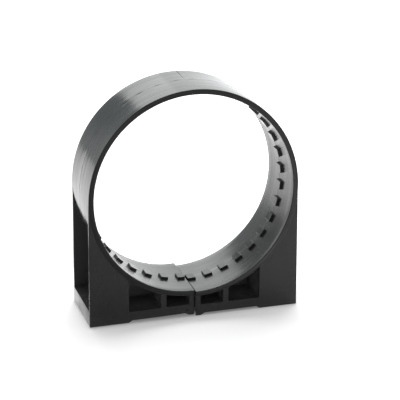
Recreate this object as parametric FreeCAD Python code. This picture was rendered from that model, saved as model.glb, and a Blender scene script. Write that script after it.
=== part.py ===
"""Filter mounting band, moulded in one piece: a split ring with grip lugs on a two-legged foot.

Frame: the origin is in the middle of the base's mounting plane, +Z is up, the ring's axis runs
along Y and the front is at -Y. Sizes are in millimetres, angles in degrees.
"""
import FreeCAD
import Part

import math
import os

# Ring
BORE_RADIUS = 95.0        # inner surface, between the lugs
RING_WALL = 5.0
RING_WIDTH = 69.0         # along Y, over both rims
RIM_BEVEL = 0.8           # bevel along the four rim edges
AXIS_HEIGHT = 119.9       # ring's axis above the mounting plane
SPLIT_GAP = 1.0           # between the free ends, at the bottom

# Mould
PARTING_Y = 2.0           # where the front and the back half of the mould met
CORE_DRAFT = 1.0          # taper of the cores that left the windows and the side pockets
CORE_CORNER = 1.0         # rounding of the cores' lower edges

# Grip lugs on the bore
LUGS_PER_HALF = 18
FIRST_LUG_ANGLE = 3.2     # from the middle of the split to the middle of the first lug
LUG_ANGLE = 4.3           # width of a lug, seen from the axis
LUG_HEIGHT = 2.4
LUG_LENGTH = 11.0         # from the parting line towards the front
LUG_DRAFT = 6.0           # slope of a lug's front face
LUG_EDGE = 0.5            # bevel along a lug's front edge

# Legs, with a front and a back plate each
RIM_PROUD = 1.0           # how far the rim stands in front of the plates
LEG_SPLAY = 0.9           # how far a leg's outer face leans out from the axis height down to the base
PLATE_THICKNESS = 3.0
PAD_THICKNESS = 14.8      # floor of the side pocket, above the mounting plane
PAD_LENGTH = 36.2         # along X, inwards from the ring's outer side
POCKET_WALL = 3.0         # between a side pocket and the large window

# Bridge between the legs
RELIEF = 2.1              # how far the bridge's underside clears the mounting plane
RELIEF_RAMP = 3.4         # run of the ramp from a pad up to the relief
SILL_TOP = 11.0           # lower edge of the windows
END_WALL = 4.7            # beside the split
SMALL_WINDOW = 22.2
RIB = 5.3                 # between a small and a large window
LARGE_WINDOW = 30.7
WEB_THICKNESS = 3.0       # closes the windows at the parting plane
FOOT_LENGTH = 4.6         # of the short feet beside the split
FOOT_RAMP = 4.4

# Bolt slots in the pads
BOLT_INSET = 17.0         # from the ring's outer side to the middle of a slot
SLOT_WIDTH = 11.0
SLOT_LENGTH = 16.0

# Hollow underside of the pads
PAD_WALL = 3.0            # round the pad's edge
DECK_THICKNESS = 4.0      # left above the hollow
BOSS_WALL = 3.5           # round the bolt slot
PAD_RIB = 2.5             # two crossed ribs from the boss to the walls

# Small nick beside the left foot, in the front of the sill
NICK_OFFSET = 2.5         # from the foot's flat to the middle of the nick
NICK_RISE = 2.7           # above the bridge's underside
NICK_WIDTH = 2.6
NICK_HEIGHT = 2.2
NICK_DEPTH = 1.4

OUTER_RADIUS = BORE_RADIUS + RING_WALL
PLATE_FACE = RING_WIDTH / 2 - RIM_PROUD
SPLIT_SIDE = SPLIT_GAP / 2
SMALL_WINDOW_X = SPLIT_SIDE + END_WALL
LARGE_WINDOW_X = SMALL_WINDOW_X + SMALL_WINDOW + RIB
POCKET_X = LARGE_WINDOW_X + LARGE_WINDOW + POCKET_WALL
CLEAR = 5.0               # how far a cutting tool reaches past the surface that it opens

AXIS_POINT = FreeCAD.Vector(0, 0, AXIS_HEIGHT)
Y_DIR = FreeCAD.Vector(0, 1, 0)
Z_DIR = FreeCAD.Vector(0, 0, 1)


def front_point(x, z, y=0.0):
    """Point at x and z of the front view, at depth y."""
    return FreeCAD.Vector(x, y, z)


def section_point(y, radius):
    """Point of the ring's cross-section at the bottom of the ring."""
    return FreeCAD.Vector(0, y, AXIS_HEIGHT - radius)


def polygon(points):
    """Closed wire of straight edges through the points."""
    return Part.makePolygon(points + points[:1])


def rounded_polygon(points, radius, rounded):
    """Closed wire through the points, with an arc of the radius at each point whose index is in rounded."""
    stops = []
    arcs = []
    for i, corner in enumerate(points):
        if i not in rounded:
            stops.append((corner, corner))
            continue
        to_last = (points[i - 1] - corner).normalize()
        to_next = (points[(i + 1) % len(points)] - corner).normalize()
        half = to_last.getAngle(to_next) / 2
        start = corner + to_last * (radius / math.tan(half))
        end = corner + to_next * (radius / math.tan(half))
        bisector = (to_last + to_next).normalize()
        middle = corner + bisector * (radius / math.sin(half) - radius)
        arcs.append(Part.Arc(start, middle, end).toShape())
        stops.append((start, end))
    sides = [Part.makeLine(stops[i - 1][1], stops[i][0]) for i in range(len(stops))]
    return Part.Wire(Part.__sortEdges__(sides + arcs))


def make_ring():
    """The ring: a rectangle with bevelled corners, turned about the axis."""
    rim = RING_WIDTH / 2
    flat = rim - RIM_BEVEL
    profile = [
        (-flat, BORE_RADIUS), (flat, BORE_RADIUS),
        (rim, BORE_RADIUS + RIM_BEVEL), (rim, OUTER_RADIUS - RIM_BEVEL),
        (flat, OUTER_RADIUS), (-flat, OUTER_RADIUS),
        (-rim, OUTER_RADIUS - RIM_BEVEL), (-rim, BORE_RADIUS + RIM_BEVEL),
    ]
    wire = polygon([section_point(y, radius) for y, radius in profile])
    return Part.Face(wire).revolve(AXIS_POINT, Y_DIR, 360)


def make_lug():
    """One grip lug at the bottom of the ring, centred on the section plane and rooted in the wall."""
    root = BORE_RADIUS + RING_WALL / 2
    tip = BORE_RADIUS - LUG_HEIGHT
    front = PARTING_Y - LUG_LENGTH
    lean = math.tan(math.radians(LUG_DRAFT))
    edge = front + (LUG_HEIGHT - LUG_EDGE) * lean
    profile = polygon([
        section_point(PARTING_Y, root),
        section_point(PARTING_Y, tip),
        section_point(edge + LUG_EDGE, tip),
        section_point(edge, tip + LUG_EDGE),
        section_point(front, BORE_RADIUS),
        section_point(front, root),
    ])
    lug = Part.Face(profile).revolve(AXIS_POINT, Y_DIR, LUG_ANGLE)
    lug.rotate(AXIS_POINT, Y_DIR, -LUG_ANGLE / 2)
    return lug


def make_lugs():
    """All lugs: evenly spaced up both sides, so that the topmost two lie half a space beside the top."""
    pitch = (180 - FIRST_LUG_ANGLE) / (LUGS_PER_HALF - 0.5)
    lug = make_lug()
    lugs = []
    for i in range(LUGS_PER_HALF):
        for side in (-1, 1):
            copy = lug.copy()
            copy.rotate(AXIS_POINT, Y_DIR, side * (FIRST_LUG_ANGLE + i * pitch))
            lugs.append(copy)
    return lugs


def make_foot():
    """Solid foot: pads, relieved bridge and legs up to the ring's axis, less the ring's inside."""
    pad = OUTER_RADIUS - PAD_LENGTH
    foot = SPLIT_SIDE + FOOT_LENGTH
    right = [
        (foot, 0),
        (foot + FOOT_RAMP, RELIEF),
        (pad - RELIEF_RAMP, RELIEF),
        (pad, 0),
        (OUTER_RADIUS + LEG_SPLAY, 0),
        (OUTER_RADIUS, AXIS_HEIGHT),
    ]
    outline = [(-x, z) for x, z in reversed(right)] + right
    wire = polygon([front_point(x, z, -PLATE_FACE) for x, z in outline])
    block = Part.Face(wire).extrude(Y_DIR * (2 * PLATE_FACE))
    return block.cut(ring_cylinder(BORE_RADIUS + RING_WALL / 2))


def ring_cylinder(radius):
    """Cylinder about the ring's axis, longer than the ring is wide."""
    length = RING_WIDTH + 2 * CLEAR
    return Part.makeCylinder(radius, length, front_point(0, AXIS_HEIGHT, -length / 2), Y_DIR)


def tapered_core(mouth, end, low, high, place, all_sides=False):
    """Core that tapers by the draft from its mouth to its end, on all sides or on all but the upper one.

    low and high are the mouth's (across, up) corners. place turns a depth and such a corner into a point.
    """
    taper = abs(end - mouth) * math.tan(math.radians(CORE_DRAFT))
    wires = []
    for depth, inset in ((mouth, 0.0), (end, taper)):
        left, right = low[0] + inset, high[0] - inset
        bottom, top = low[1] + inset, high[1] - inset * all_sides
        corners = [(left, bottom), (right, bottom), (right, top), (left, top)]
        points = [place(depth, across, up) for across, up in corners]
        wires.append(rounded_polygon(points, CORE_CORNER, range(4) if all_sides else (0, 1)))
    return Part.makeLoft(wires, True, True)


def window_cores():
    """The eight window cores under the ring: small and large, left and right, front and back."""
    def place(y, x, z):
        return front_point(x, z, y)

    cores = []
    ring = ring_cylinder(OUTER_RADIUS)
    for inner_x, width in ((SMALL_WINDOW_X, SMALL_WINDOW), (LARGE_WINDOW_X, LARGE_WINDOW)):
        for side in (-1, 1):
            low, high = (inner_x, SILL_TOP), (inner_x + width, AXIS_HEIGHT)
            web_face = PARTING_Y + side * WEB_THICKNESS / 2
            core = tapered_core(side * PLATE_FACE, web_face, low, high, place).cut(ring)
            cores += [core, mirrored(core)]
    return cores


def mirrored(shape):
    """The shape on the other side of the split."""
    return shape.mirror(FreeCAD.Vector(), FreeCAD.Vector(1, 0, 0))


def pocket_core():
    """Core of the right leg's side pocket, between the plates and under the ring."""
    def place(x, y, z):
        return front_point(x, z, y)

    half = PLATE_FACE - PLATE_THICKNESS
    low, high = (-half, PAD_THICKNESS), (half, AXIS_HEIGHT)
    mouth = OUTER_RADIUS + LEG_SPLAY
    return tapered_core(mouth, POCKET_X, low, high, place).cut(ring_cylinder(OUTER_RADIUS))


def slot_prism(margin):
    """Upright prism round the right pad's slot, wider than the slot by a margin on every side."""
    radius = SLOT_WIDTH / 2 + margin
    reach = (SLOT_LENGTH - SLOT_WIDTH) / 2
    centre = front_point(OUTER_RADIUS - BOLT_INSET, -CLEAR)
    half, round_end = FreeCAD.Vector(reach, 0, 0), FreeCAD.Vector(radius, 0, 0)
    side = Y_DIR * radius
    edges = [
        Part.makeLine(centre - half - side, centre + half - side),
        Part.Arc(centre + half - side, centre + half + round_end, centre + half + side).toShape(),
        Part.makeLine(centre + half + side, centre - half + side),
        Part.Arc(centre - half + side, centre - half - round_end, centre - half - side).toShape(),
    ]
    return Part.Face(Part.Wire(edges)).extrude(Z_DIR * (PAD_THICKNESS + 2 * CLEAR))


def pad_hollow():
    """Hollow under the right pad, less the boss round the slot and the two crossed ribs."""
    def place(z, x, y):
        return front_point(x, z, y)

    low = (OUTER_RADIUS - PAD_LENGTH + PAD_WALL, PAD_WALL - PLATE_FACE)
    high = (OUTER_RADIUS - PAD_WALL, PLATE_FACE - PAD_WALL)
    hollow = tapered_core(0.0, PAD_THICKNESS - DECK_THICKNESS, low, high, place, all_sides=True)
    half_rib = PAD_RIB / 2
    start_x = front_point(OUTER_RADIUS - BOLT_INSET - half_rib, 0, -PLATE_FACE)
    start_y = front_point(OUTER_RADIUS - PAD_LENGTH, 0, -half_rib)
    along_y = Part.makeBox(PAD_RIB, 2 * PLATE_FACE, PAD_THICKNESS, start_x)
    along_x = Part.makeBox(PAD_LENGTH, PAD_RIB, PAD_THICKNESS, start_y)
    return hollow.cut(slot_prism(BOSS_WALL)).cut(along_y).cut(along_x)


def split_cut():
    """Slab that parts the ring, the end walls and the feet at the bottom."""
    width = RING_WIDTH + 2 * CLEAR
    corner = front_point(-SPLIT_SIDE, -CLEAR, -width / 2)
    return Part.makeBox(SPLIT_GAP, width, AXIS_HEIGHT + CLEAR, corner)


def nick_cut():
    """Small triangular nick in the front of the sill, beside the left foot."""
    middle_x = -(SPLIT_SIDE + FOOT_LENGTH + NICK_OFFSET)
    low_z = RELIEF + NICK_RISE
    corners = [(-NICK_WIDTH / 2, 0), (NICK_WIDTH / 2, 0), (NICK_WIDTH / 4, NICK_HEIGHT)]
    points = [front_point(middle_x + x, low_z + z, -PLATE_FACE) for x, z in corners]
    return Part.Face(polygon(points)).extrude(Y_DIR * NICK_DEPTH)


def make_band():
    """The whole moulding."""
    body = make_ring().multiFuse([make_foot()] + make_lugs())
    one_side = [pocket_core(), pad_hollow(), slot_prism(0.0)]
    tools = window_cores() + one_side + [mirrored(tool) for tool in one_side] + [split_cut(), nick_cut()]
    for tool in tools:
        body = body.cut(tool)
    return body.removeSplitter()


def main():
    """Write the moulding as one solid."""
    os.makedirs("parts", exist_ok=True)
    band = make_band()
    print("mounting_band", band.isValid(), len(band.Solids), round(band.Volume), band.BoundBox)
    band.exportStep("parts/mounting_band.step")


main()
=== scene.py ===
"""Dresses the filter mounting band: one black moulding with a split ring, grip lugs and two hollow legs.

Lengths are in metres in the part's own frame: +Z up from the mounting plane, the ring's axis along Y, the
front at -Y. Each sub-assembly is a class that works out its surfaces with numpy and dresses them.
"""
import logging
import math
from dataclasses import dataclass, replace
from enum import Enum
from typing import Sequence

import bmesh
import bpy
import numpy as np
from mathutils import Matrix, Vector


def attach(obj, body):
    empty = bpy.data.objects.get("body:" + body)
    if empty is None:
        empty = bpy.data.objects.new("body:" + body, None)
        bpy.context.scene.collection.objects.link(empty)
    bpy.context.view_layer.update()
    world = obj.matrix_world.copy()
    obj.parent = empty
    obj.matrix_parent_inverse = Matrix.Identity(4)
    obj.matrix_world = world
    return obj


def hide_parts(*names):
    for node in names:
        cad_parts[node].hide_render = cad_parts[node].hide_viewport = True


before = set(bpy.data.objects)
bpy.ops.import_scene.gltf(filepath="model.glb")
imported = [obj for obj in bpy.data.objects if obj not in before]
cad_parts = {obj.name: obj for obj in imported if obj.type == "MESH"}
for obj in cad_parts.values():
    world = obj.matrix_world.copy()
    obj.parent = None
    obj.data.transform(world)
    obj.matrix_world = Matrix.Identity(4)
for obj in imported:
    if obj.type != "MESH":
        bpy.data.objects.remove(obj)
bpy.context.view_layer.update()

LOG = logging.getLogger("mounting_band")
MM = 0.001
NODE = "mounting_band"
BODY = "root"
# The skin attribute's X cuts or raises the reflection at a point: the weld line, and painted shade and
# painted highlight elsewhere. Its Y adds to the roughness there.
SKIN = "reflection_cut_and_rough"
# A length below this counts as nothing.
TINY = 1e-6
# Points on a rounded corner, and sections across a rounded end.
ARC_POINTS = 6
END_SECTIONS = 5
WHITE = (1.0, 1.0, 1.0, 1.0)
BLACK = (0.0, 0.0, 0.0, 1.0)

Pair = tuple[float, float]
Triple = tuple[float, float, float]
Span = tuple[float, float, float, float]
Colour = tuple[float, float, float, float]
Stops = tuple[Pair, ...]
Faces = list[tuple[int, ...]]
Array = np.ndarray
Piece = bpy.types.Object
Socket = bpy.types.NodeSocket
Inputs = dict[str | int, object]


class Side(Enum):
    """Half of the band, named by the sign of its X."""

    LEFT = -1
    RIGHT = 1


class Depth(Enum):
    """Which half of the mould formed a core, named by the sign of its Y."""

    FRONT = -1
    BACK = 1


class Work(Enum):
    """What a tool does to a piece, by the modifier's name for it."""

    CUT = "DIFFERENCE"
    WELD = "UNION"


@dataclass(frozen=True)
class BandSizes:
    """Driving sizes of the moulding, in metres and degrees."""

    bore_radius: float = 95.0 * MM
    wall: float = 5.0 * MM
    ring_width: float = 69.0 * MM
    axis_height: float = 119.9 * MM
    split_gap: float = 1.0 * MM
    parting_y: float = 2.0 * MM
    draft: float = 1.0
    rim_proud: float = 1.0 * MM
    leg_splay: float = 0.9 * MM
    plate: float = 3.0 * MM
    pad_thickness: float = 14.8 * MM
    pad_length: float = 36.2 * MM
    pocket_wall: float = 3.0 * MM
    relief: float = 2.1 * MM
    relief_ramp: float = 3.4 * MM
    sill_top: float = 11.0 * MM
    end_wall: float = 4.7 * MM
    small_window: float = 22.2 * MM
    rib: float = 5.3 * MM
    large_window: float = 30.7 * MM
    web: float = 3.0 * MM
    foot_length: float = 4.6 * MM
    foot_ramp: float = 4.4 * MM

    @property
    def outer_radius(self) -> float:
        """Radius of the ring's outer surface."""
        return self.bore_radius + self.wall

    @property
    def mid_radius(self) -> float:
        """Radius in the middle of the ring's wall, where the foot is rooted."""
        return self.bore_radius + self.wall / 2

    @property
    def slope(self) -> float:
        """Slope of the draft."""
        return math.tan(math.radians(self.draft))

    @property
    def plate_face(self) -> float:
        """Distance of the plates' outer faces from the middle plane."""
        return self.ring_width / 2 - self.rim_proud

    @property
    def split_side(self) -> float:
        """X of the right half's split face."""
        return self.split_gap / 2

    @property
    def small_window_x(self) -> float:
        """Inner edge of the small window."""
        return self.split_side + self.end_wall

    @property
    def large_window_x(self) -> float:
        """Inner edge of the large window."""
        return self.small_window_x + self.small_window + self.rib

    @property
    def pocket_x(self) -> float:
        """End of the side pocket, seen from the leg's open side."""
        return self.large_window_x + self.large_window + self.pocket_wall

    @property
    def pad_x(self) -> float:
        """Inner edge of the pad's underside."""
        return self.outer_radius - self.pad_length

    @property
    def top(self) -> float:
        """Height of the top of the ring."""
        return self.axis_height + self.outer_radius


SIZES = BandSizes()


@dataclass(frozen=True)
class SpringSet:
    """How the moulding sprang apart as it cooled: the free ends don't quite meet.

    Both halves lean about the top of the ring, the right one forwards and the left one back, and the left
    end also stands a little high.
    """

    lean: float = 1.0 * MM
    lift: float = 1.4 * MM
    twist: float = 0.5 * MM

    def apply(self, points: Array, side: Array | float) -> Array:
        """Move points from their nominal place to where the real moulding has them.

        The lean grows in line with the distance below the top. The lift is the square of the share of the
        bridge's length, from nothing at the pad to all of it at the split, on the left only. It grows by the
        twist from the middle to the back rim, and falls off as much towards the front one.

        Args:
            points: Array (..., 3) of nominal points.
            side: Sign of X of the half that each point belongs to.

        Returns:
            The moved points, in an array of the same shape.
        """
        moved = points.copy()
        below = 1.0 - points[..., 2] / SIZES.top
        moved[..., 1] -= side * self.lean * below
        share = np.clip(1.0 - np.abs(points[..., 0]) / SIZES.pad_x, 0.0, 1.0)
        low = points[..., 2] < SIZES.axis_height
        lift = self.lift + self.twist * points[..., 1] / (SIZES.ring_width / 2)
        moved[..., 2] += np.where(low & (np.asarray(side) < 0), lift * share**2, 0.0)
        return moved


SPRING = SpringSet()


def around_axis(depth: Array, radius: Array, angle: Array) -> Array:
    """Carry points of a profile round the ring's axis, to where the real moulding has them.

    A point at the radius r goes to (r sin a, y, axis height - r cos a) at the angle a, and then springs.

    Args:
        depth: y of each point.
        radius: Radius of each point.
        angle: Angle of each point from the bottom towards +X, in degrees.

    Returns:
        Array (..., 3) of points.
    """
    turned = np.radians(angle)
    height = SIZES.axis_height - radius * np.cos(turned)
    points = np.stack([radius * np.sin(turned), depth, height], axis=-1)
    return SPRING.apply(points, np.where(angle < 180.0, 1.0, -1.0))


def hill(place: Array, middle: float | Array, half: float) -> Array:
    """Gauss hill of height 1: e to the power of minus the square of (place - middle) / half."""
    return np.exp(-(((place - middle) / half) ** 2))


def outward(points: Array, faces: Faces) -> Faces:
    """Turn all faces of a closed mesh outwards.

    The sign comes from the volume: the sum over a fan of triangles of the product a . (b x c) / 6.

    Args:
        points: Array (n, 3) of vertices.
        faces: Faces that all turn the same way.

    Returns:
        The faces as they were, or all reversed if the volume came out negative.
    """
    fans = [(face[0], face[i], face[i + 1]) for face in faces for i in range(1, len(face) - 1)]
    a, b, c = np.moveaxis(points[np.array(fans)], 1, 0)
    volume = np.einsum("ij,ij->i", a, np.cross(b, c)).sum()
    return faces if volume > 0 else [face[::-1] for face in faces]


def add_object(name: str, data: bpy.types.ID) -> Piece:
    """Make an object of a mesh, a lamp or a camera and link it to the scene."""
    made = bpy.data.objects.new(name, data)
    bpy.context.scene.collection.objects.link(made)
    return made


def mesh_object(name: str, points: Array, faces: Faces) -> Piece:
    """Make a mesh object at the origin.

    Args:
        name: Name of the piece.
        points: Array (n, 3) of vertices.
        faces: Faces as tuples of vertex numbers.

    Returns:
        The new object, linked to the scene.
    """
    mesh = bpy.data.meshes.new(name)
    mesh.from_pydata(points.tolist(), [], faces)
    mesh.validate()
    mesh.update()
    return add_object(name, mesh)


def tube_faces(stations: int, around: int, first: int = 0) -> Faces:
    """Faces of a closed tube: quads between neighbouring sections and one face over each end.

    Args:
        stations: How many sections follow each other.
        around: How many points each closed section has.
        first: Number of the tube's first vertex.

    Returns:
        The faces, all turned the same way.
    """
    row = np.arange(around)
    start = first + np.arange(stations - 1)[:, None] * around
    a = start + row
    b = start + (row + 1) % around
    quads = np.stack([a, b, b + around, a + around], axis=-1).reshape(-1, 4)
    last = first + (stations - 1) * around
    near = tuple(int(first + i) for i in row[::-1])
    far = tuple(int(last + i) for i in row)
    return [tuple(int(i) for i in quad) for quad in quads] + [near, far]


def end_rounding(radius: float) -> tuple[Array, Array]:
    """Distances r (1 - cos t) from a rounded end, and how far a section is drawn in there, r (1 - sin t)."""
    turn = np.linspace(0.0, math.pi / 2, END_SECTIONS)
    return radius * (1.0 - np.cos(turn)), radius * (1.0 - np.sin(turn))


def rounded_box_profile(low: Pair, high: Pair, radius: float, cuts: Sequence[Array]) -> Array:
    """Closed outline of a box with round corners, with extra points along its sides.

    Args:
        low: Lowest corner.
        high: Highest corner.
        radius: Corner radius.
        cuts: For the lower, right, upper and left side, the coordinates along it that get a point.

    Returns:
        Array (n, 2), counter-clockwise from the lower side.
    """
    centres = [
        (high[0] - radius, low[1] + radius), (high[0] - radius, high[1] - radius),
        (low[0] + radius, high[1] - radius), (low[0] + radius, low[1] + radius),
    ]
    rows = []
    for i, centre in enumerate(centres):
        along = np.sort(cuts[i])
        clear = radius + 10 * TINY
        along = along[(along > low[i % 2] + clear) & (along < high[i % 2] - clear)]
        fixed = (low[1], high[0], high[1], low[0])[i]
        if i >= 2:
            along = along[::-1]
        side = np.full((len(along), 2), fixed)
        side[:, i % 2] = along
        turn = np.radians(-90.0 + 90.0 * i) + np.linspace(0.0, math.pi / 2, ARC_POINTS)
        arc = np.array(centre) + radius * np.stack([np.cos(turn), np.sin(turn)], axis=-1)
        rows += [side, arc]
    return np.concatenate(rows)


def rounded_corners(corners: Array, radii: Sequence[float]) -> Array:
    """Closed outline through corners, each with an arc that is tangent to both of its sides.

    With half the corner's angle h, the arc starts r / tan h from the corner and its centre lies r / sin h
    from it on the bisector. Points between are the centre plus r times the unit vectors that turn evenly
    from one foot of the arc to the other.

    Args:
        corners: Array (n, 2).
        radii: Radius at each corner, nothing for a sharp one.

    Returns:
        Array (m, 2) in the corners' order.
    """
    rows = []
    for i, corner in enumerate(corners):
        if not radii[i]:
            rows.append(corner[None])
            continue
        back = corners[i - 1] - corner
        ahead = corners[(i + 1) % len(corners)] - corner
        back, ahead = back / np.linalg.norm(back), ahead / np.linalg.norm(ahead)
        half = math.acos(float(np.clip(back @ ahead, -1.0, 1.0))) / 2
        middle = (back + ahead) / np.linalg.norm(back + ahead)
        centre = corner + middle * radii[i] / math.sin(half)
        first = corner + back * radii[i] / math.tan(half) - centre
        last = corner + ahead * radii[i] / math.tan(half) - centre
        share = np.linspace(0.0, 1.0, ARC_POINTS)[:, None]
        ray = first * (1.0 - share) + last * share
        rows.append(centre + radii[i] * ray / np.linalg.norm(ray, axis=1, keepdims=True))
    return np.concatenate(rows)


def loft_object(name: str, sections: Array) -> Piece:
    """Make a closed body from an array (k, n, 3) of closed outlines in order, with its faces outwards."""
    points = sections.reshape(-1, 3)
    return mesh_object(name, points, outward(points, tube_faces(*sections.shape[:2])))


def prism(name: str, outline: Array, span: Pair, upright: bool = False) -> Piece:
    """Make a straight prism: its outline is in x and z along Y or, if it's upright, in x and y along Z."""
    sections = np.stack([np.insert(outline, 2 if upright else 1, end, axis=1) for end in span])
    return loft_object(name, sections)


def rework(piece: Piece, tools: Sequence[Piece], work: Work) -> None:
    """Cut tools out of a piece, or weld them on to it, and remove the tools.

    Args:
        piece: The piece, whose mesh is exchanged for the result.
        tools: Closed bodies.
        work: Whether they cut or are welded on.
    """
    for tool in tools:
        step = piece.modifiers.new("step", "BOOLEAN")
        step.operation = work.value
        step.solver = "EXACT"
        step.object = tool
        ready = piece.evaluated_get(bpy.context.evaluated_depsgraph_get())
        old, piece.data = piece.data, bpy.data.meshes.new_from_object(ready)
        piece.modifiers.clear()
        spent = tool.data
        bpy.data.objects.remove(tool)
        for mesh in (old, spent):
            bpy.data.meshes.remove(mesh)
    piece.data.name = piece.name


@dataclass(frozen=True)
class Patch:
    """Patch of the ring's skin whose reflection is cut or raised: painted shade where its value is above
    nothing, painted highlight below.

    Its angle and half angle are in degrees, and its depth and half depth along y in millimetres.
    """

    angle: float
    half_angle: float
    depth: float
    half_depth: float
    reflection_cut: float

    def share(self, depth: Array, angle: Array) -> Array:
        """Reflection cut that the patch adds, painted shade or painted highlight: a Gauss hill across the
        angle and along y.
        """
        across = hill(angle, self.angle, self.half_angle)
        return self.reflection_cut * across * hill(depth / MM, self.depth, self.half_depth)


@dataclass
class RingShell:
    """The split ring: a rounded rectangle carried round the axis from one free end to the other.

    Angles are in degrees from the bottom towards +X. The cuts say where the profile gets points along y, in
    millimetres from the parting line: runs with a start, an end and a step, and a closer row at the line.
    The weld line's slant is in degrees for each millimetre.
    """

    lug_angles: Array
    sizes: BandSizes = SIZES
    edge: float = 0.9 * MM
    least_edge: float = 0.1 * MM
    end_edge: float = 0.35 * MM
    end_clear: float = 1.2
    angle_step: float = 0.75
    cut_runs: tuple[Triple, ...] = (
        (-35.0, -24.0, 1.0), (-24.0, -14.0, 2.0), (-14.0, -0.6, 0.8), (4.0, 22.0, 2.0), (22.0, 32.0, 1.0),
    )
    seam_cuts: tuple[float, ...] = (-0.5, -0.25, -0.1, 0.0, 0.1, 0.25, 0.5, 0.8, 1.1, 1.4, 1.7, 2.0, 2.4)
    rim_cut: float = 0.8 * MM
    sink_depth: float = 0.12 * MM
    sink_half_angle: float = 1.8
    sink_half_length: float = 1.9 * MM
    sink_shift: float = -2.6 * MM
    # Painted shade over the sinks and on the back rim, and a painted sheen in front of the parting line, cut
    # or raise the reflection.
    sink_shade_shift: float = -1.6 * MM
    sink_painted_shade: Pair = (0.15, 0.65)
    sink_middle: float = 192.0
    sink_spread: float = 24.0
    painted_sheen: float = -0.12
    sheen_shift: float = -6.5 * MM
    sheen_half_width: float = 2.5 * MM
    rim_painted_shade: float = 0.85
    rim_depth: float = 2.0 * MM
    rim_middle: float = 172.0
    rim_spread: float = 38.0
    bore_roughness: float = 0.08
    outer_draft: float = 0.35
    bore_draft: float = 0.65
    flare: float = 0.4 * MM
    flare_width: float = 6.0 * MM
    seam_height: float = 0.04 * MM
    bore_seam: float = 0.12 * MM
    seam_half_width: float = 0.18 * MM
    weld_angle: float = 180.5
    weld_half_angle: float = 0.38
    weld_reach: Pair = (-2.4, 1.02)
    weld_sections: int = 31
    weld_clear: float = 0.2
    weld_slant: float = 0.04
    weld_from: float = -2.0 * MM
    weld_fade: float = 10.0 * MM
    weld_depth: float = 0.30 * MM
    weld_dullness: float = 1.0
    # Patches of painted light in the bore: painted shade where positive, painted highlight where negative.
    bore_painted_light: tuple[Patch, ...] = (
        Patch(6.0, 20.0, 0.0, 80.0, -0.85),
        Patch(357.0, 14.0, -8.0, 50.0, -0.75),
        Patch(95.0, 18.0, -28.0, 14.0, -0.45),
        Patch(200.0, 30.0, -36.5, 2.5, 0.80),
        Patch(46.0, 18.0, -32.8, 2.4, -1.2),
        Patch(60.0, 15.0, -20.0, 14.0, 0.60),
        Patch(48.0, 15.0, 20.0, 16.0, -0.35),
        Patch(118.0, 16.0, 20.0, 16.0, 0.60),
    )
    # Patches of painted light outside, painted shade and painted highlight likewise.
    outer_painted_light: tuple[Patch, ...] = (
        Patch(226.0, 15.0, -28.0, 9.0, -0.60),
        Patch(230.0, 15.0, 10.0, 18.0, 0.35),
        Patch(192.0, 14.0, -4.0, 60.0, -0.25),
        Patch(200.0, 30.0, -36.5, 2.5, 0.80),
        Patch(164.0, 13.0, 29.0, 11.0, 0.45),
        Patch(208.0, 16.0, 0.2, 1.4, 0.40),
        Patch(211.0, 5.0, 4.0, 30.0, 0.20),
    )

    def angles(self) -> Array:
        """Angles of the sections, closer together at the weld line."""
        end = math.degrees(math.asin(self.sizes.split_side / self.sizes.mid_radius))
        count = int(round((360.0 - 2 * end) / self.angle_step))
        near = self.weld_angle + np.linspace(*self.weld_reach, self.weld_sections)
        even = np.linspace(end, 360.0 - end, count)
        apart = (even < near[0] - self.weld_clear) | (even > near[-1] + self.weld_clear)
        return np.sort(np.concatenate([even[apart], near]))

    def profile(self, inset: float) -> Array:
        """Cross-section in y and radius, drawn in on all sides by an inset."""
        s = self.sizes
        low = (inset - s.ring_width / 2, s.bore_radius + inset)
        high = (s.ring_width / 2 - inset, s.outer_radius - inset)
        runs = [np.arange(*run) for run in self.cut_runs]
        along = s.parting_y + np.concatenate([*runs, self.seam_cuts]) * MM
        across = s.mid_radius + np.array([-1.0, 0.0, 1.0]) * self.rim_cut
        radius = max(self.edge - inset, self.least_edge)
        return rounded_box_profile(low, high, radius, (along, across, along, across))

    def over_lugs(self, depth: Array, angle: Array, shift: float) -> Array:
        """Share of a sink: a Gauss hill over each lug's end at the parting line, shifted along y."""
        nearest = np.abs(angle[..., None] - self.lug_angles).min(axis=-1)
        along = hill(depth, self.sizes.parting_y + shift, self.sink_half_length)
        return hill(nearest, 0.0, self.sink_half_angle) * along

    def on_weld(self, depth: Array, angle: Array) -> Array:
        """Share of the weld line: a slanting Gauss hill that fades out towards the parting line."""
        fade = np.clip((depth - self.weld_from) / self.weld_fade, 0.0, 1.0)
        middle = self.weld_angle - self.weld_slant * (depth - self.weld_from) / MM
        return fade * hill(angle, middle, self.weld_half_angle)

    def relief(self, depth: Array, radius: Array, angle: Array) -> Array:
        """Radial offset of the skin: parting line, sinks outside the lugs, weld line, draft and flare.

        The parting line is a Gauss hill across y. The draft makes the outside wider and the bore narrower,
        in line with how near a point lies to it. The flare widens the bore at both rims, and falls off with
        the square of the share of its width that is left.

        Args:
            depth: y of each point.
            radius: Radius of each point.
            angle: Angle of each point in degrees.

        Returns:
            The offset of each point along the radius, nothing on the rims and their roundings.
        """
        s = self.sizes
        outer = radius > s.outer_radius - TINY
        inner = radius < s.bore_radius + TINY
        seam = hill(depth, s.parting_y, self.seam_half_width)
        sinks = self.sink_depth * self.over_lugs(depth, angle, self.sink_shift)
        weld = self.weld_depth * self.on_weld(depth, angle)
        reach = s.ring_width / 2 - np.abs(depth - s.parting_y)
        swell = reach * math.tan(math.radians(self.outer_draft))
        shrink = reach * math.tan(math.radians(self.bore_draft))
        rim = s.ring_width / 2 - np.abs(depth)
        flare = self.flare * np.clip(1.0 - rim / self.flare_width, 0.0, 1.0) ** 2
        outside = self.seam_height * seam - sinks - weld + swell
        bore = flare - shrink - self.bore_seam * seam
        return np.where(outer, outside, np.where(inner, bore, 0.0))

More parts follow.
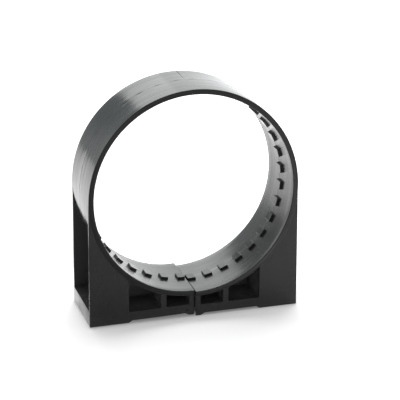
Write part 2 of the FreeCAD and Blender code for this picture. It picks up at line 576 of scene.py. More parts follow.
    def reflection_cut(self, depth: Array, radius: Array, angle: Array) -> Array:
        """How much the skin's reflection is cut, from -1 for twice the reflection to 1 for none.

        Outside, a painted sheen band in front of the parting line, painted shade over the sinks, more of it
        near the top, the weld line, painted shade on the back rim near the top and the patches of painted
        light add up. In the bore the patches do.

        Args:
            depth: y of each point.
            radius: Radius of each point.
            angle: Angle of each point in degrees.

        Returns:
            The reflection cut of each point.
        """
        least, more = self.sink_painted_shade
        level = least + more * hill(angle, self.sink_middle, self.sink_spread)
        sinks = level * self.over_lugs(depth, angle, self.sink_shade_shift)
        middle = self.sizes.parting_y + self.sheen_shift
        sheen = self.painted_sheen * hill(depth, middle, self.sheen_half_width)
        weld = self.weld_dullness * self.on_weld(depth, angle)
        rim = np.clip((depth - self.sizes.ring_width / 2) / self.rim_depth + 1.0, 0.0, 1.0)
        rim = self.rim_painted_shade * rim * hill(angle, self.rim_middle, self.rim_spread)
        outside = sheen + sinks + weld + rim + sum(patch.share(depth, angle) for patch in self.outer_painted_light)
        bore = sum(patch.share(depth, angle) for patch in self.bore_painted_light)
        return np.clip(np.where(radius > self.sizes.mid_radius, outside, bore), -1.0, 1.0)

    def build(self, finish: "NylonFinish") -> None:
        """Make the ring.

        Args:
            finish: The finish it gets.
        """
        angles = self.angles()
        away, inset = end_rounding(self.end_edge)
        turn = np.degrees(away / self.sizes.mid_radius)
        clear = turn[-1] * self.end_clear
        inner = angles[(angles > angles[0] + clear) & (angles < angles[-1] - clear)]
        head = np.concatenate([angles[0] + turn, inner, angles[-1] - turn[::-1]])
        insets = np.concatenate([inset, np.zeros(len(inner)), inset[::-1]])
        section = np.stack([self.profile(value) for value in insets])
        depth, radius = section[..., 0], section[..., 1]
        angle = np.broadcast_to(head[:, None], depth.shape)
        points = around_axis(depth, radius + self.relief(depth, radius, angle), angle)
        piece = loft_object("split_ring", points)
        rough = np.where(radius < self.sizes.mid_radius, self.bore_roughness, 0.0)
        # X: the weld line and the painted shade and painted highlight of the reflection cut; Y: extra
        # roughness in the bore.
        skin = np.stack([self.reflection_cut(depth, radius, angle), rough, np.zeros_like(rough)], axis=-1)
        piece.data.attributes.new(SKIN, "FLOAT_VECTOR", "POINT").data.foreach_set("vector", skin.ravel())
        dress(piece, finish)


@dataclass
class GripLugs:
    """The lugs on the bore: short rounded blocks, all moulded from the parting line towards the front.

    The right-hand ones are wider, stretched apart and a lag in degrees nearer the bottom. The setbacks pair
    an angle from the bottom with how far the lugs there stand towards the back. The lugs within the top's
    half angle are sunk into the wall.
    """

    sizes: BandSizes = SIZES
    per_half: int = 18
    first_angle: float = 3.2
    width_angle: float = 4.3
    right_width_angle: float = 4.9
    right_lag: float = 0.4
    right_stretch: float = 1.01
    setbacks: Stops = (
        (0.0, 1.8 * MM), (50.0, 2.6 * MM), (90.0, 2.8 * MM), (115.0, 1.3 * MM), (130.0, 0.2 * MM),
    )
    height: float = 2.6 * MM
    top_half_angle: float = 42.0
    top_sink: float = 0.7 * MM
    length: float = 11.0 * MM
    front_draft: float = 6.0
    front_edge: float = 0.6 * MM
    back_edge: float = 0.2 * MM
    end_edge: float = 0.6 * MM
    inner_sections: int = 4
    inner_reach: float = 0.6

    def angles(self) -> Array:
        """Middle angles of all lugs, from the bottom towards +X, in degrees."""
        pitch = (180.0 - self.first_angle) / (self.per_half - 0.5)
        even = self.first_angle + pitch * np.arange(self.per_half)
        right = even * self.right_stretch - self.right_lag
        return np.concatenate([right, 360.0 - even])

    def profile(self, inset: float) -> Array:
        """Cross-section in y and radius: an inset draws in its tip and front, and a third of it the back."""
        root = self.sizes.mid_radius
        tip = self.sizes.bore_radius - self.height + inset
        front = self.sizes.parting_y - self.length + inset
        lean = math.tan(math.radians(self.front_draft))
        back = self.sizes.parting_y - inset / 3
        top = front + (self.sizes.bore_radius - tip) * lean
        corners = [(back, root), (back, tip), (top, tip), (front, self.sizes.bore_radius), (front, root)]
        return rounded_corners(np.array(corners), (0.0, self.back_edge, self.front_edge, 0.0, 0.0))

    def build(self, finish: "NylonFinish") -> None:
        """Make the lugs as one piece, each swept round the axis like the ring.

        Args:
            finish: The finish they get.
        """
        away, inset = end_rounding(self.end_edge)
        rounding = np.degrees(away / self.sizes.bore_radius)
        middles = self.angles()
        half = np.where(middles < 180.0, self.right_width_angle, self.width_angle)[:, None] / 2
        inner = half * np.linspace(-self.inner_reach, self.inner_reach, self.inner_sections)
        offsets = np.concatenate([rounding - half, inner, half - rounding[::-1]], axis=1)
        insets = np.concatenate([inset, np.zeros(self.inner_sections), inset[::-1]])
        section = np.stack([self.profile(value) for value in insets])
        from_top = np.abs(middles - 180.0)
        setback = np.interp(180.0 - from_top, *np.transpose(self.setbacks))
        sunk = np.where(from_top < self.top_half_angle, self.top_sink, 0.0)
        depth = section[..., 0] + setback[:, None, None]
        radius = section[..., 1] + sunk[:, None, None]
        points = around_axis(depth, radius, (middles[:, None] + offsets)[..., None])
        stations, around = section.shape[:2]
        flat = points.reshape(-1, 3)
        faces = []
        for first in range(0, len(flat), stations * around):
            faces += tube_faces(stations, around, first)
        piece = mesh_object("grip_lugs", flat, outward(flat, faces))
        dress(piece, finish)


@dataclass
class LegAndBridge:
    """One half of the foot: the leg with its side pocket and pad, and the bridge with its two windows."""

    side: Side
    sizes: BandSizes = SIZES
    edge: float = 0.35 * MM
    core_corner: float = 1.0 * MM
    hidden: float = 1.0 * MM
    bolt_inset: float = 17.0 * MM
    slot_width: float = 11.0 * MM
    slot_length: float = 16.0 * MM
    pad_wall: float = 3.0 * MM
    deck: float = 4.0 * MM
    boss_wall: float = 3.5 * MM
    pad_rib: float = 2.5 * MM
    rib_setback: float = 0.2 * MM
    nick_offset: float = 2.5 * MM
    nick_rise: float = 2.7 * MM
    nick_width: float = 2.6 * MM
    nick_height: float = 2.2 * MM
    nick_depth: float = 1.4 * MM
    bend_step: float = 8.0 * MM
    seat_points: int = 60
    window_points: int = 24
    pocket_points: int = 32
    slot_points: int = 17

    def arc(self, start_x: float, end_x: float, radius: float, count: int) -> Array:
        """Points (x, z) on a circle about the ring's axis, below it, evenly spaced in angle."""
        first, last = math.asin(start_x / radius), math.asin(end_x / radius)
        turn = np.linspace(first, last, count)
        return np.stack([radius * np.sin(turn), self.sizes.axis_height - radius * np.cos(turn)], axis=-1)

    def outline(self) -> Array:
        """Front outline in x and z: feet, relieved underside, leg, and an arc inside the ring's wall."""
        s = self.sizes
        foot = s.split_side + s.foot_length
        straight = np.array([
            (s.split_side, 0.0), (foot, 0.0), (foot + s.foot_ramp, s.relief),
            (s.pad_x - s.relief_ramp, s.relief), (s.pad_x, 0.0), (s.outer_radius + s.leg_splay, 0.0),
            (s.outer_radius, s.axis_height),
        ])
        seat = self.arc(s.mid_radius, s.split_side, s.mid_radius, self.seat_points)
        return np.concatenate([straight, seat])

    def place(self, points: Array) -> Array:
        """Mirror points in a plane or in space to this half."""
        return points * np.array([self.side.value, 1.0, 1.0])[: points.shape[-1]]

    def window_core(self, inner_x: float, width: float, depth: Depth) -> Piece:
        """Core of one window: it narrows by the draft from its mouth to the web.

        Args:
            inner_x: Edge beside the split at the mouth.
            width: Width at the mouth.
            depth: Whether it opens to the front or to the back.

        Returns:
            The core's object.
        """
        s, slope = self.sizes, self.sizes.slope
        reach = s.outer_radius - self.hidden
        sections = []
        for y in (depth.value * (s.plate_face + self.hidden), s.parting_y + depth.value * s.web / 2):
            inset = (s.plate_face - abs(y)) * slope
            left, right, bottom = inner_x + inset, inner_x + width - inset, s.sill_top + inset
            low = np.array([(left, s.axis_height), (left, bottom), (right, bottom), (right, s.axis_height)])
            base = rounded_corners(low, (0.0, self.core_corner, self.core_corner, 0.0))[1:-1]
            outline = np.concatenate([base, self.arc(right, left, reach, self.window_points)])
            sections.append(np.insert(outline, 1, y, axis=1))
        return loft_object("core", self.place(np.stack(sections)))

    def pocket_core(self) -> Piece:
        """Core of the side pocket: front outlines carried across the leg, raised at the rounded floor edges.

        At the angle t of the rounding of radius r the outline is r (1 - sin t) in from the plate and its
        floor is r (1 - cos t) high, where t runs from the plate to the floor.
        """
        s, slope = self.sizes, self.sizes.slope
        reach = s.outer_radius - self.hidden
        mouth, high = s.outer_radius + s.leg_splay + self.hidden, s.axis_height + self.hidden
        top = self.arc(reach, s.pocket_x, reach, self.pocket_points)
        turn = np.linspace(math.pi / 2, 0.0, ARC_POINTS)
        steps = list(zip(self.core_corner * (1.0 - np.sin(turn)), self.core_corner * (1.0 - np.cos(turn))))
        sections = []
        for sign, rows in ((-1.0, steps), (1.0, steps[::-1])):
            for draw_in, lift in rows:
                floor = s.pad_thickness + lift
                corners = np.array([(s.pocket_x, floor), (mouth, floor), (mouth, high), (reach, high), *top])
                taper = (s.outer_radius - corners[:, 0]) * slope
                corners[:2, 1] += taper[:2]
                half = s.plate_face - s.plate - taper - draw_in
                sections.append(np.stack([corners[:, 0], sign * half, corners[:, 1]], axis=-1))
        return loft_object("core", self.place(np.stack(sections)))

    def stadium(self, margin: float) -> Array:
        """Outline in x and y round the bolt slot: two half circles joined by straight sides."""
        radius = self.slot_width / 2 + margin
        reach = (self.slot_length - self.slot_width) / 2
        turn = np.linspace(-math.pi / 2, math.pi / 2, self.slot_points)
        right = np.stack([reach + radius * np.cos(turn), radius * np.sin(turn)], axis=-1)
        middle = np.array([self.sizes.outer_radius - self.bolt_inset, 0.0])
        return self.place(middle + np.concatenate([right, -right]))

    def pad_hollow(self) -> Piece:
        """Hollow under the pad: a rounded rectangle that narrows by the draft up to the deck."""
        s, slope = self.sizes, self.sizes.slope
        sections = []
        for z in (-self.hidden, s.pad_thickness - self.deck):
            inset = self.pad_wall + z * slope
            low_x, high_x, half = s.pad_x + inset, s.outer_radius - inset, s.plate_face - inset
            corners = np.array([(low_x, -half), (high_x, -half), (high_x, half), (low_x, half)])
            outline = rounded_corners(corners, (self.core_corner,) * 4)
            sections.append(np.insert(outline, 2, z, axis=1))
        return loft_object("core", self.place(np.stack(sections)))

    def pad_ribs(self) -> list[Piece]:
        """The boss round the slot and the two crossed ribs, from just above the floor into the deck."""
        s = self.sizes
        span = (self.rib_setback, s.pad_thickness - self.deck / 2)
        half, inner = self.pad_rib / 2, self.pad_wall / 2
        middle = s.outer_radius - self.bolt_inset
        along_y = ((middle - half, inner - s.plate_face), (middle + half, s.plate_face - inner))
        along_x = ((s.pad_x + inner, -half), (s.outer_radius - inner, half))
        boxes = []
        for low, high in (along_y, along_x):
            corners = np.array([low, (high[0], low[1]), high, (low[0], high[1])])
            boxes.append(prism("rib", self.place(corners), span, upright=True))
        return [prism("boss", self.stadium(self.boss_wall), span, upright=True)] + boxes

    def nick(self) -> Piece:
        """Tool for the small triangular nick in the front of the sill, beside the left foot."""
        s = self.sizes
        middle = -(s.split_side + s.foot_length + self.nick_offset)
        low = s.relief + self.nick_rise
        half = self.nick_width / 2
        tip = (middle + half / 2, low + self.nick_height)
        corners = np.array([(middle - half, low), (middle + half, low), tip])
        return prism("nick", corners, (-s.plate_face - self.hidden, -s.plate_face + self.nick_depth))

    def spring(self, piece: Piece) -> None:
        """Bend the bridge as the free end lies, after cutting its faces into strips across X."""
        shape = bmesh.new()
        shape.from_mesh(piece.data)
        for x in np.arange(self.bend_step, self.sizes.pad_x + self.bend_step, self.bend_step):
            parts = shape.verts[:] + shape.edges[:] + shape.faces[:]
            place, across = (self.side.value * float(x), 0.0, 0.0), (1.0, 0.0, 0.0)
            bmesh.ops.bisect_plane(shape, geom=parts, plane_co=place, plane_no=across, dist=TINY)
        shape.to_mesh(piece.data)
        shape.free()
        flat = np.empty(len(piece.data.vertices) * 3)
        piece.data.vertices.foreach_get("co", flat)
        moved = SPRING.apply(flat.reshape(-1, 3), float(self.side.value))
        piece.data.vertices.foreach_set("co", moved.ravel())
        piece.data.update()

    def build(self, finish: "NylonFinish") -> None:
        """Make this half of the foot.

        Args:
            finish: The finish it gets.
        """
        s = self.sizes
        outline = self.place(self.outline())
        piece = prism(f"foot_{self.side.name.lower()}", outline, (-s.plate_face, s.plate_face))
        windows = ((s.small_window_x, s.small_window), (s.large_window_x, s.large_window))
        cores = [self.window_core(x, width, depth) for x, width in windows for depth in Depth]
        rework(piece, cores + [self.pocket_core(), self.pad_hollow()], Work.CUT)
        rework(piece, self.pad_ribs(), Work.WELD)
        through = (-s.pad_thickness, 2 * s.pad_thickness)
        rework(piece, [prism("slot", self.stadium(0.0), through, upright=True)], Work.CUT)
        if self.side is Side.LEFT:
            rework(piece, [self.nick()], Work.CUT)
        self.spring(piece)
        dress(piece, finish, self.edge)


class NodeDesk:
    """Adds nodes to a material's or world's tree and links them."""

    def __init__(self, owner: bpy.types.Material | bpy.types.World) -> None:
        """Keep the owner's tree and empty it."""
        owner.use_nodes = True
        self.tree = owner.node_tree
        self.tree.nodes.clear()

    def add(self, kind: str, inputs: Inputs | None = None, **settings: object) -> bpy.types.Node:
        """Add a node.

        Args:
            kind: Blender's name of the node type.
            inputs: Values of sockets, or output sockets to link to them.
            **settings: Attributes of the node.

        Returns:
            The node.
        """
        node = self.tree.nodes.new(kind)
        for name, value in settings.items():
            setattr(node, name, value)
        for key, value in (inputs or {}).items():
            if isinstance(value, Socket):
                self.tree.links.new(value, node.inputs[key])
            else:
                node.inputs[key].default_value = value
        return node

    def noise(self, vector: Socket, look: Triple) -> Socket:
        """Noise from a vector, with its scale, detail and roughness, as its factor."""
        inputs = dict(zip(("Vector", "Scale", "Detail", "Roughness"), (vector, *look)))
        return self.add("ShaderNodeTexNoise", inputs).outputs["Fac"]

    def stretched(self, vector: Socket, scale: Triple, turn: Triple = (0.0, 0.0, 0.0)) -> Socket:
        """Stretch a vector and turn it by angles in radians."""
        inputs = {"Vector": vector, "Scale": scale, "Rotation": turn}
        return self.add("ShaderNodeMapping", inputs).outputs["Vector"]

    def parts(self, vector: Socket) -> bpy.types.NodeOutputs:
        """X, Y and Z of a vector, by name."""
        return self.add("ShaderNodeSeparateXYZ", {"Vector": vector}).outputs

    def fit(self, value: Socket, low: float, high: float, least: float = 0.0, most: float = 1.0) -> Socket:
        """Carry a value from the range low to high to the range least to most and hold it there."""
        inputs = {"Value": value, "From Min": low, "From Max": high, "To Min": least, "To Max": most}
        return self.add("ShaderNodeMapRange", inputs).outputs["Result"]

    def sum(self, first: Socket, second: Socket) -> Socket:
        """Add two values."""
        return self.add("ShaderNodeMath", {0: first, 1: second}, operation="ADD").outputs[0]

    def product(self, first: Socket, second: Socket | float) -> Socket:
        """Multiply two values."""
        return self.add("ShaderNodeMath", {0: first, 1: second}, operation="MULTIPLY").outputs[0]

    def vector(self, operation: str, *operands: Socket | Triple) -> Socket:
        """Work with vectors, which gives a vector or, for a length or a dot product, a value."""
        outputs = self.add("ShaderNodeVectorMath", dict(enumerate(operands)), operation=operation).outputs
        return outputs["Value" if operation in ("LENGTH", "DOT_PRODUCT") else "Vector"]

    def lerp(self, share: Socket, first: Socket | float, second: Socket | float) -> Socket:
        """Mix two values by a share."""
        return self.add("ShaderNodeMix", {0: share, 2: first, 3: second}).outputs[0]

    def blend(self, share: Socket, first: Socket | Colour, second: Socket | Colour) -> Socket:
        """Mix two colours by a share."""
        return self.add("ShaderNodeMix", {0: share, 6: first, 7: second}, data_type="RGBA").outputs[2]

    def ramp(self, value: Socket, stops: Stops) -> Socket:
        """Look a value up in a row of stops, each a value and the level there."""
        low, high = stops[0][0], stops[-1][0]
        node = self.add("ShaderNodeValToRGB", {0: self.fit(value, low, high)})
        bands = node.color_ramp.elements
        while len(bands) < len(stops):
            bands.new(1.0)
        for band, (place, level) in zip(bands, stops):
            band.position = (place - low) / (high - low)
            band.color = (level, level, level, 1.0)
        return node.outputs["Color"]

    def bump(self, height: Socket, depth: float, strength: float = 1.0, **under: Socket) -> Socket:
        """Normal of a skin that a pattern raises by a depth, over the Normal under it if one is given."""
        inputs = {"Height": height, "Distance": depth, "Strength": strength, **under}
        return self.add("ShaderNodeBump", inputs).outputs["Normal"]


@dataclass(frozen=True)
class NylonFinish:
    """Black glass-filled nylon: satin skin with fine grain, flow streaks, rubbed edges and light scuffs.

    A noise is a scale, a detail and a roughness. A band is where a pattern grows from nothing to all, and a
    span is a range with what it is carried to.
    """

    name: str
    stretch: Triple
    colour: Colour = (0.030, 0.030, 0.031, 1.0)
    worn: Colour = (0.045, 0.045, 0.048, 1.0)
    dust: Colour = (0.060, 0.058, 0.056, 1.0)
    painted_cavity_light: Colour = (0.20, 0.20, 0.20, 1.0)
    roughness: float = 0.15
    swing: float = 0.10
    scuffed: float = 0.12
    ior: float = 1.5
    grain_depth: float = 0.005 * MM
    wave_depth: float = 0.05 * MM
    wave_strength: float = 0.6
    streak_depth: float = 0.0
    paints_cavity_light: bool = False
    streak_noise: Triple = (60.0, 4.0, 0.6)
    cloud_noise: Triple = (28.0, 3.0, 0.55)
    grain_noise: Triple = (2600.0, 2.0, 0.6)
    fibre_noise: Triple = (900.0, 3.0, 0.7)
    scratch_noise: Triple = (110.0, 2.0, 0.5)
    scratch_stretch: Triple = (1.0, 14.0, 3.0)
    scratch_turn: Triple = (0.4, 0.9, 0.3)
    scratch_band: Pair = (0.66, 0.74)
    scuff_band: Pair = (0.50, 0.64)
    edge_span: Span = (0.51, 0.60, 0.0, 0.8)
    rubbed_band: Pair = (0.42, 0.60)
    upward_span: Span = (0.55, 0.98, 0.0, 0.35)
    dust_band: Pair = (0.45, 0.70)
    inside_y: Pair = (0.032, 0.018)
    inside_x: Pair = (0.066, 0.064)
    streak_band: Pair = (0.30, 0.70)
    cloud_gloss: Span = (0.35, 0.65, -0.03, 0.03)
    streak_level: Span = (0.35, 0.65, 1.12, 0.78)

    def shade(self, desk: NodeDesk, place: Socket, scuffs: Socket, fibres: Socket) -> Socket:
        """Colour of the skin: paler in scuffs and on rubbed edges, dusty facing up, painted light deep in the
        bridge.

        Args:
            desk: Desk of the material.
            place: Object coordinates.
            scuffs: How scuffed the skin is.
            fibres: Pattern that breaks the rubbed edges and the dust up.

        Returns:
            The colour.
        """
        skin = desk.add("ShaderNodeNewGeometry").outputs
        edges = desk.fit(skin["Pointiness"], *self.edge_span)
        rubbed = desk.product(edges, desk.fit(fibres, *self.rubbed_band))
        shade = desk.blend(desk.sum(scuffs, rubbed), self.colour, self.worn)
        upward = desk.fit(desk.parts(skin["Normal"])["Z"], *self.upward_span)
        shade = desk.blend(desk.product(upward, desk.fit(fibres, *self.dust_band)), shade, self.dust)
        # Painted light: the bridge is paler deep inside, which lifts its dark windows.
        if self.paints_cavity_light:
            parts = desk.parts(desk.vector("ABSOLUTE", place))
            inside = desk.product(desk.fit(parts["Y"], *self.inside_y), desk.fit(parts["X"], *self.inside_x))
            shade = desk.blend(inside, shade, self.painted_cavity_light)
        return shade

    def material(self) -> bpy.types.Material:
        """Make the material, with all patterns on Object coordinates.

        Returns:
            The material.
        """
        made = bpy.data.materials.new(self.name)
        desk = NodeDesk(made)
        place = desk.add("ShaderNodeTexCoord").outputs["Object"]
        streaks = desk.noise(desk.stretched(place, self.stretch), self.streak_noise)
        clouds = desk.noise(place, self.cloud_noise)
        fibres = desk.noise(place, self.fibre_noise)
        slanted = desk.stretched(place, self.scratch_stretch, self.scratch_turn)
        scratches = desk.fit(desk.noise(slanted, self.scratch_noise), *self.scratch_band)
        scuffs = desk.product(scratches, desk.fit(clouds, *self.scuff_band))
        cut_and_roughness = desk.parts(desk.add("ShaderNodeAttribute", attribute_name=SKIN).outputs["Vector"])
        least, most = self.roughness - self.swing / 2, self.roughness + self.swing / 2
        gloss = desk.sum(
            desk.fit(streaks, *self.streak_band, least, most),
            desk.sum(desk.product(scuffs, self.scuffed), desk.fit(clouds, *self.cloud_gloss)),
        )
        normal = desk.bump(desk.sum(desk.noise(place, self.grain_noise), fibres), self.grain_depth)
        normal = desk.bump(clouds, self.wave_depth, self.wave_strength, Normal=normal)
        if self.streak_depth:
            normal = desk.bump(streaks, self.streak_depth, Normal=normal)
        # Painted shade and painted highlight: the skin attribute's X scales the ring's reflection.
        level = desk.product(desk.fit(cut_and_roughness["X"], -1.0, 1.0, 1.0, 0.0), desk.fit(streaks, *self.streak_level))
        skin = desk.add("ShaderNodeBsdfPrincipled", {
            "Base Color": self.shade(desk, place, scuffs, fibres), "Roughness": desk.sum(gloss, cut_and_roughness["Y"]),
            "IOR": self.ior, "Specular IOR Level": level, "Normal": normal,
        })
        desk.add("ShaderNodeOutputMaterial", {"Surface": skin.outputs["BSDF"]})
        return made


RING_NYLON = NylonFinish("ring_nylon", stretch=(0.12, 1.0, 0.12), streak_depth=0.4 * MM)
LUG_NYLON = NylonFinish("lug_nylon", stretch=(1.0, 1.0, 1.0))
# The feet's nylon is paler than the ring's: painted light that lifts their dark windows and pocket.
FOOT_NYLON = NylonFinish(
    "foot_nylon", stretch=(1.0, 1.0, 0.15), colour=(0.065, 0.065, 0.065, 1.0), roughness=0.25, ior=1.32,
    paints_cavity_light=True,
)


def dress(piece: Piece, finish: NylonFinish, edge: float = 0.0) -> None:
    """Round a piece's edges and give it its shading, its finish and its place in the frame.

    Args:
        piece: The piece.
        finish: Its finish.
        edge: Width of the rounding, nothing where the mesh already has it.
    """
    least_angle, faces_across, flat_weight = 35.0, 3, 60
    if edge:
        bevel = piece.modifiers.new("edges", "BEVEL")
        bevel.width = edge
        bevel.segments = faces_across
        bevel.limit_method = "ANGLE"
        bevel.angle_limit = math.radians(least_angle)
        bevel.use_clamp_overlap = False
        bevel.loop_slide = False
        bevel.miter_outer = "MITER_SHARP"
    piece.data.shade_smooth()
    shading = piece.modifiers.new("shading", "WEIGHTED_NORMAL")
    shading.mode = "FACE_AREA_WITH_ANGLE"
    shading.weight = flat_weight
    piece.data.materials.clear()
    piece.data.materials.append(finish.material())
    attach(piece, BODY)
    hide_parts(NODE)
    LOG.info("%s: %d vertices, %d faces", piece.name, len(piece.data.vertices), len(piece.data.polygons))


def direction(azimuth: float, elevation: float) -> Array:
    """Way (sin a cos e, cos a cos e, sin e) at an azimuth from +Y towards +X and an elevation, in degrees."""
    a, e = math.radians(azimuth), math.radians(elevation)
    return np.array([math.sin(a) * math.cos(e), math.cos(a) * math.cos(e), math.sin(e)])


@dataclass(frozen=True)
class SoftBox:
    """A soft box in a direction from the ring's axis, which it faces, where a level of 1 is white."""

    name: str
    azimuth: float
    elevation: float
    distance: float
    size: Pair
    level: float

    def build(self) -> None:
        """Make the lamp, whose power is its level times pi times its area."""
        lamp = bpy.data.lights.new(self.name, "AREA")
        lamp.shape = "RECTANGLE"
        lamp.size, lamp.size_y = self.size
        lamp.energy = self.level * math.pi * self.size[0] * self.size[1]
        piece = add_object(self.name, lamp)
        way = Vector(direction(self.azimuth, self.elevation))
        piece.location = Vector((0.0, 0.0, SIZES.axis_height)) + way * self.distance
        piece.rotation_mode = "QUATERNION"
        piece.rotation_quaternion = way.to_track_quat("Z", "Y")


@dataclass
class Studio:
    """A pale floor, soft boxes and the surroundings that the black skin mirrors.

    The camera sees a white world and a floor that is painted greyer beside the feet, a painted shadow. The
    skin mirrors the floor by levels along Y, a painted reflection, dimmed in front and on the left, painted
    shade, and the world by levels along X behind the part.
    """

    floor_front: float = -6.0
    floor_back: float = 1.9
    floor_drop: float = 0.05 * MM
    floor_colour: Colour = (0.86, 0.86, 0.86, 1.0)
    floor_glow_and_painted_shadow: Stops = ((0.0, 0.16), (0.002, 0.31), (0.007, 0.38), (0.023, 0.41), (0.046, 0.38), (0.1, 0.37))
    mirror_glow: Stops = ((-0.06, 0.0), (-0.02, 0.9), (0.08, 1.1), (0.16, 0.25), (0.35, 0.65), (1.0, 0.65))
    glow_fade: Span = (0.04, 0.14, 1.0, 0.8)
    mirror_dim: float = 0.88
    dim_x: Span = (0.12, -0.06, 0.15, 1.0)
    dim_y: Pair = (-0.03, -0.04)
    left_way: Triple = (5.0, 1.0, 0.0)
    left_along: Pair = (-0.533, -0.542)
    left_x: Pair = (-0.114, -0.120)
    left_shade: Stops = ((-0.036, 0.0), (-0.032, 1.0), (0.17, 1.0), (0.20, 0.0))
    front_level: float = 0.22
    front_y: Pair = (-0.5, 0.3)
    back_levels: Stops = (
        (-1.00, 1.60), (-0.54, 1.60), (-0.48, 0.30), (-0.44, 0.22), (-0.40, 0.95), (-0.37, 0.60),
        (-0.33, 0.42), (-0.26, 0.40), (1.00, 0.40),
    )
    wall_top: Pair = (0.45, 0.75)
    roof_level: float = 0.35
    tint: Colour = (0.86, 1.0, 1.0, 1.0)
    tint_y: Pair = (0.5, 0.7)
    tint_level: Pair = (0.9, 0.3)
    boxes: tuple[SoftBox, ...] = (
        SoftBox("back_right_box", 14.5, 20.0, 1.6, (1.36, 1.52), 1.35),
        SoftBox("back_glow", 0.0, 22.0, 1.6, (0.50, 0.80), 0.42),
        SoftBox("top_box", 22.0, 66.0, 1.2, (1.0, 0.9), 5.8),
    )

    def floor(self) -> None:
        """Make the floor: a sheet just below the feet, whose levels lie round the part, its glow painted
        darker near the feet.

        As the skin mirrors it, the left is dimmed past a slanting line or past an X, for glossy rays alone:
        painted shade in the skin's reflection, beside a glossy-only glow by levels along Y, painted
        reflection. The distance from the foot is the length of what a place has beyond the foot's half sizes.
        """
        near, far, low = self.floor_front, self.floor_back, -self.floor_drop
        points = np.array([(near, near, low), (-near, near, low), (-near, far, low), (near, far, low)])
        piece = mesh_object("floor", points, [(0, 1, 2, 3)])
        made = bpy.data.materials.new("white_sheet")
        desk = NodeDesk(made)
        rays = desk.add("ShaderNodeLightPath").outputs
        place = desk.add("ShaderNodeTexCoord").outputs["Object"]
        parts = desk.parts(place)
        front_left = desk.product(desk.fit(parts["X"], *self.dim_x), desk.fit(parts["Y"], *self.dim_y))
        slant = desk.fit(desk.vector("DOT_PRODUCT", place, self.left_way), *self.left_along)
        past = desk.fit(desk.sum(slant, desk.fit(parts["X"], *self.left_x)), 0.0, 1.0)
        left = desk.product(past, desk.ramp(parts["Y"], self.left_shade))
        # Glossy rays alone see the floor dimmed here: painted shade in the skin's reflection.
        dim = desk.product(desk.product(rays["Is Glossy Ray"], desk.sum(front_left, left)), self.mirror_dim)
        matt = desk.add("ShaderNodeBsdfDiffuse", {"Color": desk.blend(dim, self.floor_colour, BLACK)})
        foot = (SIZES.outer_radius + SIZES.leg_splay, SIZES.plate_face, SIZES.top)
        beyond = desk.vector("SUBTRACT", desk.vector("ABSOLUTE", place), foot)
        distance = desk.vector("LENGTH", desk.vector("MAXIMUM", beyond, (0.0, 0.0, 0.0)))
        # Glossy rays alone see this glow: painted reflection in the skin.
        glow = desk.product(desk.ramp(parts["Y"], self.mirror_glow), desk.fit(parts["X"], *self.glow_fade))
        mirrored = desk.product(rays["Is Glossy Ray"], desk.lerp(left, glow, 0.0))
        # The camera sees the glow fade towards the feet: a painted contact shadow.
        seen = desk.sum(desk.product(rays["Is Camera Ray"], desk.ramp(distance, self.floor_glow_and_painted_shadow)), mirrored)
        shine = desk.add("ShaderNodeEmission", {"Color": WHITE, "Strength": seen})
        both = desk.add("ShaderNodeAddShader", {0: matt.outputs[0], 1: shine.outputs[0]})
        desk.add("ShaderNodeOutputMaterial", {"Surface": both.outputs[0]})
        piece.data.materials.append(made)

    def surroundings(self) -> None:
        """Light the scene from all round: dim on the camera's side, paler behind, white to the camera."""
        world = bpy.data.worlds.new("surroundings")
        bpy.context.scene.world = world
        desk = NodeDesk(world)
        parts = desk.parts(desk.add("ShaderNodeTexCoord").outputs["Generated"])
        panels = desk.ramp(parts["X"], self.back_levels)
        behind = desk.lerp(desk.fit(parts["Z"], *self.wall_top), panels, self.roof_level)
        level = desk.lerp(desk.fit(parts["Y"], *self.front_y), self.front_level, behind)
        camera = desk.add("ShaderNodeLightPath").outputs["Is Camera Ray"]
        strength = desk.lerp(camera, level, 1.0)
        dark = desk.product(desk.fit(parts["Y"], *self.tint_y), desk.fit(strength, *self.tint_level))
        colour = desk.blend(dark, WHITE, self.tint)
        back = desk.add("ShaderNodeBackground", {"Color": colour, "Strength": strength})
        desk.add("ShaderNodeOutputWorld", {"Surface": back.outputs[0]})

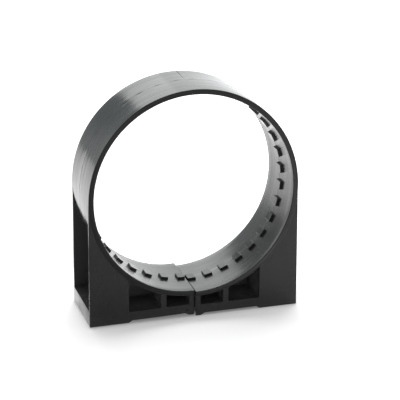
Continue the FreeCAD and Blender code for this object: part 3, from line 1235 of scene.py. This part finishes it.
    def build(self) -> None:
        """Set up the floor, the surroundings and the soft boxes."""
        self.floor()
        self.surroundings()
        for box in self.boxes:
            box.build()
        bpy.context.scene.view_settings.view_transform = "Standard"


@dataclass(frozen=True)
class PhotoCamera:
    """Camera at the photograph's viewing angle, aimed at the ring's axis and then turned a little."""

    azimuth: float = 196.5903
    elevation: float = 18.9102
    distance: float = 1.42009
    yaw: float = 0.5719
    pitch: float = -0.6158
    roll: float = -0.024
    lens: float = 136.930
    sensor: float = 36.0
    clip: Pair = (0.05, 50.0)

    def build(self) -> None:
        """Make the camera.

        It stands at the distance from the ring's axis in its direction. Its own axes first aim at the ring's
        axis, then turn by the yaw, the pitch and the roll.
        """
        back = direction(self.azimuth, self.elevation)
        ahead = -back
        right = np.cross(ahead, [0.0, 0.0, 1.0])
        right /= np.linalg.norm(right)
        up = np.cross(right, ahead)
        ahead, right = self.turned(ahead, right, self.yaw)
        ahead, up = self.turned(ahead, up, self.pitch)
        right, up = self.turned(right, up, self.roll)
        lens = bpy.data.cameras.new("photo_camera")
        lens.sensor_fit = "HORIZONTAL"
        lens.sensor_width = self.sensor
        lens.lens = self.lens
        lens.clip_start, lens.clip_end = self.clip
        piece = add_object("photo_camera", lens)
        place = np.eye(4)
        place[:3, 0], place[:3, 1], place[:3, 2] = right, up, -ahead
        place[:3, 3] = back * self.distance + np.array([0.0, 0.0, SIZES.axis_height])
        piece.matrix_world = Matrix(place.tolist())
        bpy.context.scene.camera = piece

    @staticmethod
    def turned(first: Array, second: Array, angle: float) -> tuple[Array, Array]:
        """Turn two square axes by an angle in degrees, the first towards the second."""
        c, s = math.cos(math.radians(angle)), math.sin(math.radians(angle))
        return first * c + second * s, second * c - first * s


def main() -> None:
    """Build the band's sub-assemblies, then the studio and the camera."""
    logging.basicConfig(level=logging.INFO, format="%(name)s: %(message)s")
    lugs = GripLugs()
    RingShell(lugs.angles()).build(RING_NYLON)
    lugs.build(LUG_NYLON)
    for side in Side:
        LegAndBridge(side).build(replace(FOOT_NYLON, name=f"foot_nylon_{side.name.lower()}"))
    Studio().build()
    PhotoCamera().build()


if __name__ == "__main__":
    main()
